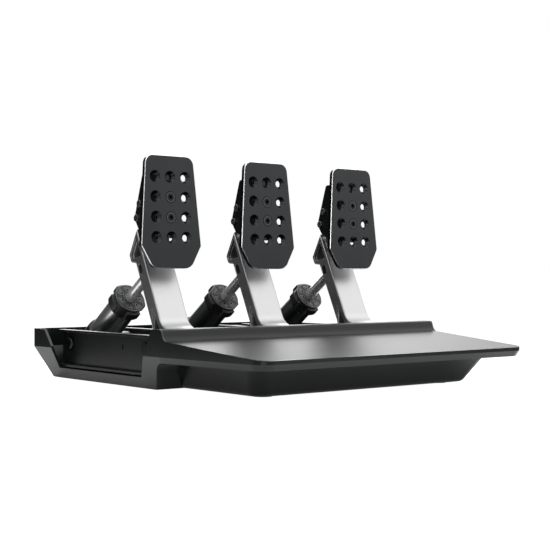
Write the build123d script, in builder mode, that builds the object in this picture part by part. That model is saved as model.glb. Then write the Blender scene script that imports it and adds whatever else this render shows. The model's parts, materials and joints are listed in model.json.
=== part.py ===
import os
from math import asin, atan2, cos, degrees, radians, sin, tan

from build123d import *

os.makedirs("parts", exist_ok=True)

# Sim racing pedal set: a shallow base tray with a heel plate in front and three pedals behind it.
# Each pedal swings on a shaft in its own channel bracket and pushes a rod into a cylinder.
# Frame: X to the driver's right, Y away from the driver, Z up, origin under the middle of the base.

# Whole base, in millimetres
base_width = 358
base_depth = 382
wall_rise = 51.5            # underside of the tray to the top of its rear wall
fold_rise = 32.5            # underside to the crease round the sides and rear
side_slant = 15             # how far the sides lean in from the crease to the underside
tray_wall = 3
tray_floor = 3
foot_proud = 1.5            # the rubber feet stand this far below the tray
corner_radius = 15          # front corners seen from above
front_taper = 9.5           # each side leans in by this much from the lip to the front edge
taper_setback = 140
rear_corner_radius = 3

# Front flange and the narrower toe box under it
flange_rise = 27            # underside of the flange
toe_top_inset = 26.6        # toe box inside the base's side, at the flange
toe_bottom_inset = 43       # the same at the underside
toe_top_setback = 30.6      # toe box behind the base's front edge, at the flange
toe_bottom_setback = 47
toe_corner_radius = 14
toe_edge_radius = 8
recess_low_setback = 166.5  # front edge to the rear end of the recess, at the underside
recess_top_setback = 147.6  # the same at the flange
recess_radius = 18

# Heel plate, its cove and the lip behind it
heel_thickness = 3
heel_front_rise = 36
heel_rear_rise = 47.4
heel_run = 133.5            # front edge to the foot of the cove
lip_rise = 58.1
lip_front_setback = 137.5
lip_rear_setback = 151.4
cove_radius = 8
lip_radius = 3
rim_width = 2               # tray wall left round the heel plate
heel_gap = 0.3              # heel plate to the rim
ledge_width = 3             # shelf that carries the heel plate
bulkhead = 3                # wall under the lip

# Side windows
sill_rise = 11
window_rear_top = 24        # rear wall to the window's edge at the top
window_rear_low = 39        # and at the sill
window_bend_rise = 34
window_front_top = 154.2    # front edge to the window's edge at the top
window_front_fold = 167
window_front_sill = 185
window_top_rise = 56.5

# Rails on the tray floor that carry the brackets
rail_rise = 12.2
rail_width = 16
rail_front_setback = 214
rail_rear_setback = 322

# Rig bolt holes through the tray floor, and the feet
rig_hole_radius = 3.3
rig_spacing_x = 122
rig_spacing_y = 70
rig_centre_setback = 268
rig_boss_rise = 6
rig_boss_radius = 9
foot_radius = 9
foot_thickness = 3
foot_inset = 22             # foot centre to the underside's edges
foot_middle_setback = 190

# Pedal places and the three pivots of each linkage
pedal_pitch = 122.2
pivot_setback = 194.1       # front edge to the pedal shaft
pivot_rise = 37.5
trunnion_setback = 335.5    # front edge to the bolt that carries the cylinder
trunnion_rise = 36.4
cylinder_offset = 6.3       # cylinder's axis above and behind that bolt
link_along = 88.4           # pedal shaft to the rod pin, along the arm
link_behind = 2.4           # rod pin behind the arm's centre line

# Fits
running_gap = 0.06          # shaft in a bush, piston in a tube, each side
fixed_gap = 0.05            # fixed pin or screw in its hole, each side
side_gap = 0.3              # end play beside a hub or between faces that slide past
eye_gap = 0.7               # free play of the rod's eye on its pin
cut_over = 2                # how far a cutting shape passes the face it opens

# Bracket: a channel with turned out top edges and feet
bracket_sheet = 2.5
bracket_inner = 69
bracket_front_setback = 172
bracket_rear_setback = 353
bracket_top_rise = 51
bracket_lip = 5
bracket_foot = 6
bracket_edge_radius = 1
wall_slot_width = 2.2
wall_slot_height = 6.5
wall_slot_setback = 234
wall_slot_rise = 37.3
bracket_nose_radius = 12
bracket_tail_radius = 12       # lower rear corners of the walls

# Pedal shaft and bushes
shaft_radius = 6
bush_radius = 8
bush_flange_radius = 10.5
bush_flange = 1.5
shaft_overhang = 1          # shaft past the left wall
magnet_overhang = 6         # shaft past the right wall, inside the sensor

# Arm
arm_width = 34.5
arm_depth = 15.7
arm_lean = 25.2
hub_radius = 20
hub_side_radius = 12
foot_blend = 20
arm_edge_radius = 1.8
head_low = 95               # along the arm from the shaft to the head's underside
head_mid = 99.5
head_high = 108
head_top = 125.5
head_rear = 15.5            # head's corner behind the centre line
head_round = 3
rod_slot_width = 13.6
rod_slot_low = 46
rod_slot_high = 97
rod_slot_wall = 2.9         # arm wall left in front of the slot
pocket_depth = 3
foot_pocket_depth = 2.2
pocket_round = 1.5
head_pocket_front = 93      # head pocket's floor line before the rim is taken off, at the front
head_pocket_rear = 99       # and at the rear
head_pocket_rim = 3.4
foot_pocket_top = 42.5
foot_pocket_mid = 24.2
foot_pocket_low = 16
foot_pocket_rim = 3.8
foot_pocket_tip = 7         # pocket's upper tip behind the arm's front face
pin_radius = 3
pin_recess_width = 6.6
pin_recess_length = 11
pin_recess_depth = 6
tongue_width = 24
tongue_front = 22           # tongue's front behind the plate's face
tongue_top = 24
tongue_low = 38
tongue_inset = 1.6

# Pedal plate, measured on its leaning face from the middle of the hole grid
plate_rise = 175.4          # underside of the tray to the middle of the hole grid
plate_setback = 204         # front edge to the plate's face at that height
plate_lean = 2.75
plate_thickness = 4.5
plate_top = 51.5
plate_bottom = 60.4
plate_knee = 38
plate_top_half = 28
plate_knee_half = 35.5
plate_bottom_half = 22.7
plate_top_round = 9
plate_bottom_round = 11
plate_knee_round = 4
plate_bevel = 0.6
hole_pitch_x = 17.8
hole_pitch_y = 20
hole_radius = 3.3
hole_sink_radius = 6.1
screw_radius = 3
screw_head_radius = 5.9
screw_length = 14
screw_hex = 2
screw_hex_depth = 2.4

# Bracket behind the plate
carrier_wall = 3.2
carrier_web = 5.5
carrier_top = 35
carrier_bottom = 30
carrier_top_rear = 26.5
carrier_corner_rear = 43
carrier_corner_low = 8
carrier_heel_rear = 35.5
carrier_heel_low = 20
carrier_round = 3
carrier_gap = 0.2           # bracket wall to the arm's tongue
carrier_bolt_radius = 2
carrier_bolt_head_radius = 3.6
carrier_bolt_head = 2.4
carrier_bolt_end = 2        # bolt past the far wall
carrier_bolt_hex = 1.5
carrier_bolt_hex_depth = 1.4
upper_bolt_rear = 31.5
upper_bolt_high = 6
lower_bolt_rear = 37.5
lower_bolt_low = 8

# Cylinder, rod and adjuster knob; places run along the axis, from beside the trunnion to the rod pin
rod_radius = 5.5
eye_radius = 6.6
eye_width = 12.4
tube_radius = 15.3
tube_bore = 13
tube_end = 70
gland_length = 6
lower_cap_radius = 18
lower_cap_below = 13
lower_cap_above = 12
lower_cap_round = 3
spigot_length = 4
trunnion_hub_radius = 11
trunnion_radius = 4
bolt_head_radius = 7
bolt_head_height = 4
bolt_head_round = 2.4
bolt_hex = 2.7
bolt_hex_depth = 2.6
nut_radius = 7.2
nut_height = 6.5
piston_start = 56.7
piston_length = 7
tail_radius = 3
piston_groove = 2
piston_groove_depth = 1.2
spring_wire = 1.1
spring_turns = 4
spring_sides = 8            # flats round the wire, so that its surface stays light
spring_radius = 9.4
rubber_count = 3
rubber_radius = 11
rubber_bore = 4
washer_thickness = 2
washer_radius = 12
knob_radius = 16.8
knob_edge_radius = 0.6
knob_start = 58
knob_length = 16.5
knob_face = 3.4
knob_rim = 1.5
knob_groove = 0.8
knob_gap = 0.4
knob_skirt_radius = 16.4
knob_lobes = 4
knob_lobe_angle = 48
knob_lobe_taper = 4
knob_lobe_round = 1.4
knob_lobe_radius = 19.4
knob_petals = 7
petal_depth = 0.8
petal_groove = 0.9
petal_rib = 1.1             # left standing between two petals
petal_inner = 6.6
petal_outer = 13.4
petal_round = 1.2
petal_hole_radius = 1
petal_hole_place = 10
petal_hole_depth = 2

# Sensor on each bracket, and the controller with its socket
sensor_length = 26
sensor_height = 20
sensor_thickness = 10
sensor_bore = 8
box_width = 52
box_depth = 20
box_low = 24                # underside of the tray to the box
box_top = 46
box_wall = 2
box_lid = 2.5
box_rear_gap = 4
box_rib = 3
box_rib_depth = 10
box_rib_spacing = 36
board_thickness = 1.6
board_gap = 0.5
board_post = 2.5
board_post_inset = 4
socket_width = 12.5
socket_height = 11.5
socket_rise = 40
socket_wall = 1.6
socket_depth = 11
socket_gap = 0.3

# Heel plate screws and bracket screws
heel_screw_radius = 1.5
heel_screw_head = 3.4
heel_screw_length = 6.5
heel_screw_hex = 1
heel_screw_hex_depth = 1.2
heel_screw_front_inset = 11.5
heel_screw_front_side = 18
heel_screw_rear_side = 8
heel_screw_rear_setback = 122
heel_boss_radius = 4
base_screw_radius = 2.5
base_screw_head = 4.25
base_screw_head_height = 2.7
base_screw_length = 9
base_screw_side = 24
base_screw_hex = 1.7
base_screw_hex_depth = 1.6
small_head_round = 0.5      # upper edge of the heads of the small cap screws

# Places worked out from the sizes above
front_y = -base_depth / 2
rear_y = base_depth / 2
ground = foot_proud
half_width = base_width / 2
pivot = Vector(0, front_y + pivot_setback, ground + pivot_rise)
trunnion = Vector(0, front_y + trunnion_setback, ground + trunnion_rise)
lean = radians(arm_lean)
tip = radians(plate_lean)
arm_back = Vector(0, cos(lean), -sin(lean))
arm_up = Vector(0, sin(lean), cos(lean))
link = pivot + arm_up * link_along + arm_back * link_behind
plate_face = Vector(0, front_y + plate_setback, ground + plate_rise)
plate_back = Vector(0, cos(tip), -sin(tip))
link_line = link - trunnion
axis_tilt = asin(cylinder_offset / link_line.length)
axis_way = link_line.rotate(Axis.X, degrees(axis_tilt)).normalized()
axis_foot = trunnion + Vector(1, 0, 0).cross(axis_way) * -cylinder_offset
axis_length = (link - axis_foot).length
bracket_outer = bracket_inner / 2 + bracket_sheet
pedals = {"clutch": -pedal_pitch, "brake": 0, "throttle": pedal_pitch}


def at_y(setback):
    """Y of a place that is measured back from the base's front edge."""
    return front_y + setback


def at_z(rise):
    """Z of a height that is measured from the tray's underside."""
    return ground + rise


def shifted(point, x):
    return Vector(x, point.Y, point.Z)


def side_plane(x):
    """Side view through a pedal's middle: first axis back, second axis up."""
    return Plane(origin=(x, 0, 0), x_dir=(0, 1, 0), z_dir=(1, 0, 0))


def arm_plane(x):
    return Plane(origin=shifted(pivot, x), x_dir=arm_back, z_dir=(1, 0, 0))


def carrier_plane(x):
    return Plane(origin=shifted(plate_face, x), x_dir=plate_back, z_dir=(1, 0, 0))


def plate_plane(x):
    return Plane(origin=shifted(plate_face, x), x_dir=(1, 0, 0), z_dir=-plate_back)


def cylinder_plane(x, along):
    """Square to the cylinder's axis, at a distance along it."""
    return Plane(origin=shifted(axis_foot, x) + axis_way * along, x_dir=(1, 0, 0), z_dir=axis_way)


def save(part, name):
    part.label = name
    export_step(part, f"parts/{name}.step")


def base_view(inset):
    """The base seen from above, its sides leaning in towards the front, moved in by inset."""
    with BuildSketch() as view:
        with BuildLine():
            right = [
                (half_width - front_taper - inset, front_y + inset),
                (half_width - inset, at_y(taper_setback)),
                (half_width - inset, rear_y - inset),
            ]
            left = [(-across, back) for across, back in reversed(right)]
            Polyline(*right, *left, close=True)
        make_face()
    return view.sketch


def hull_block(inset, low):
    """The base's outer form, moved in by inset, from the height low to the lip."""
    def lean_in(rise):
        return side_slant * (1 - rise / fold_rise)

    with BuildPart() as block:
        for rise in (low, fold_rise):
            with BuildSketch(Plane.XY.offset(at_z(rise))) as ring:
                add(base_view(inset + lean_in(rise)))
                fillet(ring.vertices().group_by(Axis.Y)[0], corner_radius - inset)
                fillet(ring.vertices().group_by(Axis.Y)[-1], rear_corner_radius)
        loft()
        extrude(block.faces().sort_by(Axis.Z)[-1], amount=lip_rise - fold_rise)
    return block.part


def toe_block(inset, low):
    """The narrower toe box under the flange, moved in by inset, from the height low up."""
    rear = at_y(recess_low_setback + tray_wall + inset)
    with BuildPart() as block:
        for rise in (low, flange_rise + inset):
            share = rise / flange_rise
            side_inset = toe_bottom_inset + (toe_top_inset - toe_bottom_inset) * share + inset
            setback = toe_bottom_setback + (toe_top_setback - toe_bottom_setback) * share + inset
            deep = rear - at_y(setback)
            with BuildSketch(Plane.XY.offset(at_z(rise))) as ring:
                with Locations((0, rear - deep / 2)):
                    Rectangle(base_width - 2 * side_inset, deep)
                fillet(ring.vertices().group_by(Axis.Y)[0], toe_corner_radius - inset)
        loft()
        if inset == 0:
            low_edges = block.edges().group_by(Axis.Z)[0].sort_by(Axis.Y)[:-1]
            fillet(low_edges, toe_edge_radius)
    return block.part


def heel_top():
    """Upper outline of the heel plate, from the front edge to the lip's rear edge."""
    return FilletPolyline(
        (front_y, at_z(heel_front_rise)),
        (at_y(heel_run), at_z(heel_rear_rise)),
        (at_y(lip_front_setback), at_z(lip_rise)),
        (at_y(lip_rear_setback), at_z(lip_rise)),
        radius=[cove_radius, lip_radius],
    )


def heel_sheet(inset):
    """The heel plate's bent sheet, its sides and front moved in by inset."""
    with BuildPart() as sheet:
        with BuildSketch(Plane.YZ):
            with BuildLine() as outline:
                heel_top()
                offset(amount=heel_thickness, side=Side.RIGHT, kind=Kind.INTERSECTION)
            make_face()
        extrude(amount=half_width, both=True)
        with BuildSketch() as view:
            add(base_view(inset))
            fillet(view.vertices().group_by(Axis.Y)[0], corner_radius - inset)
        extrude(amount=2 * lip_rise, mode=Mode.INTERSECT)
    return sheet.part


def side_cut(points, corner=None, radius=0):
    """A side outline carried across the whole base, for cutting; one corner may be round."""
    with BuildPart() as cut:
        with BuildSketch(Plane.YZ) as outline:
            with BuildLine():
                Polyline(*points, close=True)
            make_face()
            if corner:
                fillet(outline.vertices().sort_by_distance(corner)[0], radius)
        extrude(amount=base_width, both=True)
    return cut.part


def recess_cut(grown):
    """What the recess beside the toe box takes away, grown by a wall's thickness."""
    corner = (at_y(recess_top_setback) + grown, at_z(flange_rise) + grown)
    points = [
        (front_y - cut_over, at_z(-cut_over)),
        (at_y(recess_low_setback) + grown, at_z(-cut_over)),
        (at_y(recess_low_setback) + grown, at_z(0)),
        corner,
        (front_y - cut_over, at_z(flange_rise) + grown),
    ]
    return side_cut(points, corner, recess_radius)


def ahead_of(setback):
    top = at_z(lip_rise + cut_over)
    low = at_z(-cut_over)
    return side_cut([
        (front_y - cut_over, low),
        (at_y(setback), low),
        (at_y(setback), top),
        (front_y - cut_over, top),
    ])


def heel_height(setback):
    """Height of the heel plate's upper face at a distance behind the front edge."""
    return at_z(heel_front_rise + (heel_rear_rise - heel_front_rise) * setback / heel_run)


heel_slope = atan2(heel_rear_rise - heel_front_rise, heel_run)
heel_screw_spots = [
    (side * (half_width - inset), setback)
    for side in (-1, 1)
    for inset, setback in (
        (heel_screw_front_side + front_taper, heel_screw_front_inset),
        (heel_screw_rear_side, heel_screw_rear_setback),
    )
]
box_middle = pedal_pitch / 2
box_rear = rear_y - tray_wall - box_rear_gap
foot_spots = [
    (side * (half_width - inset - foot_inset), y)
    for side in (-1, 1)
    for inset, y in (
        (toe_bottom_inset, at_y(toe_bottom_setback + foot_inset)),
        (side_slant, at_y(foot_middle_setback)),
        (side_slant, rear_y - side_slant - foot_inset),
    )
]
base_screw_spots = [
    (x + side * base_screw_side, at_y(setback))
    for x in pedals.values()
    for side in (-1, 1)
    for setback in (rail_front_setback, rail_rear_setback)
]


def heel_plane(x, setback):
    return Plane(
        origin=(x, at_y(setback), heel_height(setback)),
        x_dir=(1, 0, 0),
        z_dir=(0, -sin(heel_slope), cos(heel_slope)),
    )


def well_block():
    """The open space behind the lip, kept a wall away from the recess below."""
    with BuildPart() as well:
        add(hull_block(tray_wall, tray_floor))
        add(recess_cut(tray_wall), mode=Mode.SUBTRACT)
        add(toe_block(tray_wall, tray_floor))
        add(ahead_of(lip_rear_setback), mode=Mode.SUBTRACT)
    return well.part


def hollow_block():
    """The space under the heel plate, inside the shelf that carries it."""
    with BuildPart() as hollow:
        add(hull_block(rim_width + ledge_width, flange_rise + tray_floor))
        add(toe_block(tray_wall, tray_floor))
        add(ahead_of(lip_rear_setback - bulkhead), mode=Mode.INTERSECT)
    return hollow.part


with BuildPart() as base_tray:
    add(hull_block(0, 0))
    add(recess_cut(0), mode=Mode.SUBTRACT)
    add(toe_block(0, 0))

    # the well behind the lip and the hollow under the heel plate
    add(well_block(), mode=Mode.SUBTRACT)
    add(hollow_block(), mode=Mode.SUBTRACT)

    # bosses for the heel plate's screws
    for x, setback in heel_screw_spots:
        with BuildSketch(Plane.XY.offset(at_z(flange_rise))):
            with Locations((x, at_y(setback))):
                Circle(heel_boss_radius)
        extrude(amount=lip_rise - flange_rise)

    # upper outline over the heel plate, then the seat for its sheet
    with BuildSketch(Plane.YZ):
        with BuildLine():
            heel_top()
            Polyline(
                (at_y(lip_rear_setback), at_z(lip_rise)),
                (at_y(lip_rear_setback), at_z(lip_rise + cut_over)),
                (front_y - cut_over, at_z(lip_rise + cut_over)),
                (front_y - cut_over, at_z(heel_front_rise)),
                (front_y, at_z(heel_front_rise)),
            )
        make_face()
    extrude(amount=base_width, both=True, mode=Mode.SUBTRACT)
    add(heel_sheet(rim_width), mode=Mode.SUBTRACT)

    # side windows and the top of the rear wall
    add(side_cut([
        (at_y(lip_rear_setback), at_z(lip_rise + cut_over)),
        (at_y(lip_rear_setback), at_z(lip_rise)),
        (at_y(window_front_top), at_z(window_top_rise)),
        (at_y(window_front_fold), at_z(fold_rise)),
        (at_y(window_front_sill), at_z(sill_rise)),
        (rear_y - window_rear_low, at_z(sill_rise)),
        (rear_y - window_rear_low, at_z(window_bend_rise)),
        (rear_y - window_rear_top, at_z(wall_rise)),
        (rear_y + cut_over, at_z(wall_rise)),
        (rear_y + cut_over, at_z(lip_rise + cut_over)),
    ]), mode=Mode.SUBTRACT)

    # rails under the brackets, ribs under the controller, bosses round the rig bolt holes
    rail_half = half_width - side_slant * (1 - tray_floor / fold_rise) - tray_wall
    with BuildSketch(Plane.XY.offset(ground)):
        for setback in (rail_front_setback, rail_rear_setback):
            with Locations((0, at_y(setback))):
                Rectangle(2 * rail_half, rail_width)
    extrude(amount=rail_rise)
    with BuildSketch(Plane.XY.offset(ground)):
        with Locations((box_middle, box_rear - box_depth + box_rib_depth / 2)):
            with GridLocations(box_rib_spacing, 0, 2, 1):
                Rectangle(box_rib, box_rib_depth)
    extrude(amount=box_low)
    with BuildSketch(Plane.XY.offset(ground)):
        with Locations((0, at_y(rig_centre_setback))):
            with GridLocations(rig_spacing_x, rig_spacing_y, 2, 2):
                Circle(rig_boss_radius)
    extrude(amount=rig_boss_rise)

    # holes: rig bolts, bracket screws, feet, heel plate screws, data socket
    with BuildSketch(Plane.XY.offset(ground - cut_over)):
        with Locations((0, at_y(rig_centre_setback))):
            with GridLocations(rig_spacing_x, rig_spacing_y, 2, 2):
                Circle(rig_hole_radius)
    extrude(amount=rig_boss_rise + 2 * cut_over, mode=Mode.SUBTRACT)
    with BuildSketch(Plane.XY.offset(at_z(rail_rise))):
        with Locations(*base_screw_spots):
            Circle(base_screw_radius + fixed_gap)
    extrude(amount=-base_screw_length, mode=Mode.SUBTRACT)
    with BuildSketch(Plane.XY.offset(ground)):
        with Locations(*foot_spots):
            Circle(foot_radius + fixed_gap)
    extrude(amount=foot_thickness - foot_proud, mode=Mode.SUBTRACT)
    for spot in heel_screw_spots:
        with BuildSketch(heel_plane(*spot).offset(-heel_thickness)):
            Circle(heel_screw_radius + fixed_gap)
        extrude(amount=heel_thickness - heel_screw_length, mode=Mode.SUBTRACT)
    with BuildSketch(Plane.XZ.offset(-rear_y - cut_over)):
        with Locations((box_middle, at_z(socket_rise))):
            Rectangle(socket_width + 2 * socket_gap, socket_height + 2 * socket_gap)
    extrude(amount=tray_wall + 2 * cut_over, mode=Mode.SUBTRACT)
save(base_tray.part, "base_tray")


def flat_screw(plane, radius, head, length, hex_radius, hex_depth):
    """A countersunk socket screw whose head lies flush with the plane."""
    with BuildPart() as screw:
        with BuildSketch(plane):
            Circle(head)
        with BuildSketch(plane.offset(radius - head)):
            Circle(radius)
        loft()
        with BuildSketch(plane.offset(radius - head)):
            Circle(radius)
        extrude(amount=head - radius - length)
        with BuildSketch(plane):
            RegularPolygon(hex_radius, 6)
        extrude(amount=-hex_depth, mode=Mode.SUBTRACT)
    return screw.part


def flat_screw_hole(plane, radius, head, depth):
    """The seat and through hole that such a screw needs."""
    with BuildPart() as hole:
        with BuildSketch(plane.offset(fixed_gap)):
            Circle(head + 2 * fixed_gap)
        with BuildSketch(plane.offset(radius - head)):
            Circle(radius + fixed_gap)
        loft()
        with BuildSketch(plane.offset(radius - head)):
            Circle(radius + fixed_gap)
        extrude(amount=head - radius - depth - cut_over)
    return hole.part


with BuildPart() as heel_plate:
    add(heel_sheet(rim_width + heel_gap))
    for spot in heel_screw_spots:
        hole = flat_screw_hole(heel_plane(*spot), heel_screw_radius, heel_screw_head, heel_thickness)
        add(hole, mode=Mode.SUBTRACT)
save(heel_plate.part, "heel_plate")

heel_screws = [
    flat_screw(
        heel_plane(*spot), heel_screw_radius, heel_screw_head,
        heel_screw_length, heel_screw_hex, heel_screw_hex_depth,
    )
    for spot in heel_screw_spots
]
save(Compound(children=heel_screws), "heel_plate_screws")

with BuildPart() as rubber_feet:
    with BuildSketch():
        with Locations(*foot_spots):
            Circle(foot_radius)
    extrude(amount=foot_thickness)
save(rubber_feet.part, "rubber_feet")


def make_bracket(x):
    """Channel that holds one pedal's shaft and its cylinder's bolt."""
    length = bracket_rear_setback - bracket_front_setback
    middle = Plane.XZ.offset(-at_y(bracket_front_setback + length / 2))
    floor_top = at_z(rail_rise + bracket_sheet)
    wall_height = bracket_top_rise - rail_rise
    with BuildPart() as bracket:
        with BuildSketch(middle):
            with Locations((x, at_z(rail_rise) + bracket_sheet / 2)):
                Rectangle(2 * (bracket_outer + bracket_foot), bracket_sheet)
            for side in (-1, 1):
                with Locations((
                    x + side * (bracket_outer - bracket_sheet / 2),
                    at_z(rail_rise) + wall_height / 2,
                )):
                    Rectangle(bracket_sheet, wall_height)
                with Locations((
                    x + side * (bracket_outer + bracket_lip / 2),
                    at_z(bracket_top_rise) - bracket_sheet / 2,
                )):
                    Rectangle(bracket_lip, bracket_sheet)
        extrude(amount=length / 2, both=True)
        top_edges = bracket.edges().filter_by(Axis.Y).group_by(Axis.Z)[-1]
        fillet(top_edges, bracket_edge_radius)

        # the walls are rounded at the top in front and at the bottom behind
        with BuildSketch(side_plane(x)) as nose:
            with Locations((at_y(bracket_front_setback + length / 2), at_z(rail_rise) + wall_height / 2)):
                Rectangle(length, wall_height)
            top_front = nose.vertices().group_by(Axis.Y)[-1].sort_by(Axis.X)[0]
            fillet(top_front, bracket_nose_radius)
            low_rear = nose.vertices().group_by(Axis.Y)[0].sort_by(Axis.X)[-1]
            fillet(low_rear, bracket_tail_radius)
        extrude(amount=base_width, both=True, mode=Mode.INTERSECT)

        # shaft, cylinder bolt and slot in both walls, screws in the floor
        with BuildSketch(side_plane(x)):
            with Locations((pivot.Y, pivot.Z)):
                Circle(bush_radius + fixed_gap)
            with Locations((trunnion.Y, trunnion.Z)):
                Circle(trunnion_radius + fixed_gap)
            with Locations((at_y(wall_slot_setback), at_z(wall_slot_rise))):
                SlotOverall(wall_slot_height, wall_slot_width, rotation=90)
        extrude(amount=bracket_outer + cut_over, both=True, mode=Mode.SUBTRACT)
        with BuildSketch(Plane.XY.offset(floor_top)):
            for setback in (rail_front_setback, rail_rear_setback):
                with Locations((x, at_y(setback))):
                    with GridLocations(2 * base_screw_side, 0, 2, 1):
                        Circle(base_screw_radius + fixed_gap)
        extrude(amount=-bracket_sheet - cut_over, mode=Mode.SUBTRACT)
    return bracket.part


def hex_cap_screw(plane, radius, length, head, height, edge, hex_radius, hex_depth):
    """Cap screw: the head stands on the plane with a rounded edge, the shank goes the other way."""
    with BuildPart() as screw:
        with BuildSketch(plane):
            Circle(head)
        extrude(amount=height)
        rims = screw.edges().filter_by(GeomType.CIRCLE)
        fillet(rims.sort_by_distance(plane.origin + plane.z_dir * height)[0], edge)
        with BuildSketch(plane):
            Circle(radius)
        extrude(amount=-length)
        with BuildSketch(plane.offset(height)):
            RegularPolygon(hex_radius, 6)
        extrude(amount=-hex_depth, mode=Mode.SUBTRACT)
    return screw.part


def make_bush(x, side):
    """Flanged bush pressed into one wall of a bracket; the flange is on the inner face."""
    inner = side_plane(x + side * bracket_inner / 2)
    with BuildPart() as bush:
        for radius, amount in ((bush_flange_radius, -bush_flange), (bush_radius, bracket_sheet)):
            with BuildSketch(inner):
                with Locations((pivot.Y, pivot.Z)):
                    Circle(radius)
            extrude(amount=side * amount)
        with BuildSketch(inner):
            with Locations((pivot.Y, pivot.Z)):
                Circle(shaft_radius + running_gap)
        extrude(amount=bush_flange + cut_over + bracket_sheet, both=True, mode=Mode.SUBTRACT)
    return bush.part


def make_sensor(x):
    """Rotation sensor's housing on the right wall, round the end of the pedal's shaft."""
    face = side_plane(x + bracket_outer)
    with BuildPart() as sensor:
        with BuildSketch(face) as outline:
            with Locations((pivot.Y, pivot.Z)):
                Rectangle(sensor_length, sensor_height)
            fillet(outline.vertices(), head_round)
        extrude(amount=sensor_thickness)
        with BuildSketch(face):
            with Locations((pivot.Y, pivot.Z)):
                Circle(sensor_bore)
        extrude(amount=magnet_overhang + side_gap, mode=Mode.SUBTRACT)
    return sensor.part


def trunnion_plane(x):
    """Left outer face of a bracket at the cylinder's bolt, looking outwards."""
    return Plane(
        origin=(x - bracket_outer, trunnion.Y, trunnion.Z), x_dir=(0, -1, 0), z_dir=(-1, 0, 0)
    )


def make_nut(x):
    with BuildPart() as nut:
        with BuildSketch(side_plane(x + bracket_outer)):
            with Locations((trunnion.Y, trunnion.Z)):
                RegularPolygon(nut_radius, 6)
                Circle(trunnion_radius + fixed_gap, mode=Mode.SUBTRACT)
        extrude(amount=nut_height)
    return nut.part


for name, x in pedals.items():
    save(make_bracket(x), f"{name}_bracket")

bracket_screws = [
    hex_cap_screw(
        Plane((*spot, at_z(rail_rise + bracket_sheet))),
        base_screw_radius, base_screw_length, base_screw_head, base_screw_head_height,
        small_head_round, base_screw_hex, base_screw_hex_depth,
    )
    for spot in base_screw_spots
]
save(Compound(children=bracket_screws), "bracket_screws")
bushes = [make_bush(x, side) for x in pedals.values() for side in (-1, 1)]
save(Compound(children=bushes), "pivot_bushes")
save(Compound(children=[make_sensor(x) for x in pedals.values()]), "sensor_housings")
trunnion_bolts = [
    hex_cap_screw(
        trunnion_plane(x), trunnion_radius, 2 * bracket_outer + nut_height,
        bolt_head_radius, bolt_head_height, bolt_head_round, bolt_hex, bolt_hex_depth,
    )
    for x in pedals.values()
]
save(Compound(children=trunnion_bolts), "trunnion_bolts")
save(Compound(children=[make_nut(x) for x in pedals.values()]), "trunnion_nuts")


def make_shaft(x):
    with BuildPart() as shaft:
        with BuildSketch(side_plane(x - bracket_outer - shaft_overhang)):
            with Locations((pivot.Y, pivot.Z)):
                Circle(shaft_radius)
        extrude(amount=2 * bracket_outer + shaft_overhang + magnet_overhang)
    return shaft.part


def carrier_rear(up):
    """How far the bracket behind the plate reaches back at a height on the plate."""
    share = (carrier_top - up) / (carrier_top + carrier_corner_low)
    return carrier_top_rear + (carrier_corner_rear - carrier_top_rear) * share


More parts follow.
